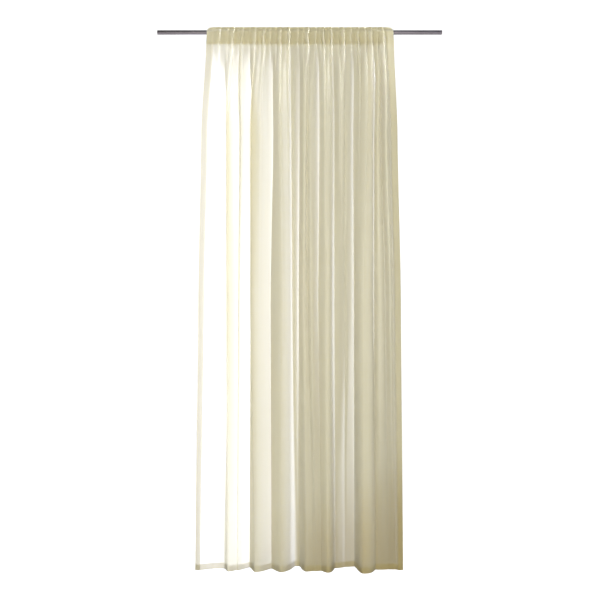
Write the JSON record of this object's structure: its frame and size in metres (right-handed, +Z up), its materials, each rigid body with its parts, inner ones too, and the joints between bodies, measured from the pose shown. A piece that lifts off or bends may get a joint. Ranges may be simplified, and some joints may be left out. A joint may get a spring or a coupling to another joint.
{
  "type": "curtain on a rod",
  "caption": "Sheer full-length curtain panel gathered by a rod pocket on a plain round rod, hanging in uneven soft folds.",
  "frame": {"origin": "on the rod's axis, midway along the rod", "axes": "+X along the rod, to the right seen from the room; +Y towards the wall; +Z up"},
  "size_m": [1.286, 0.1189, 2.4496],
  "materials": {
    "rod": "satin",
    "cloth": "matte sheer weave",
    "heading": "matte sheer weave"
  },
  "bodies": {
    "root": {"rod": "rod", "panel": "cloth", "heading_strip": "heading"}
  },
  "joints": []
}
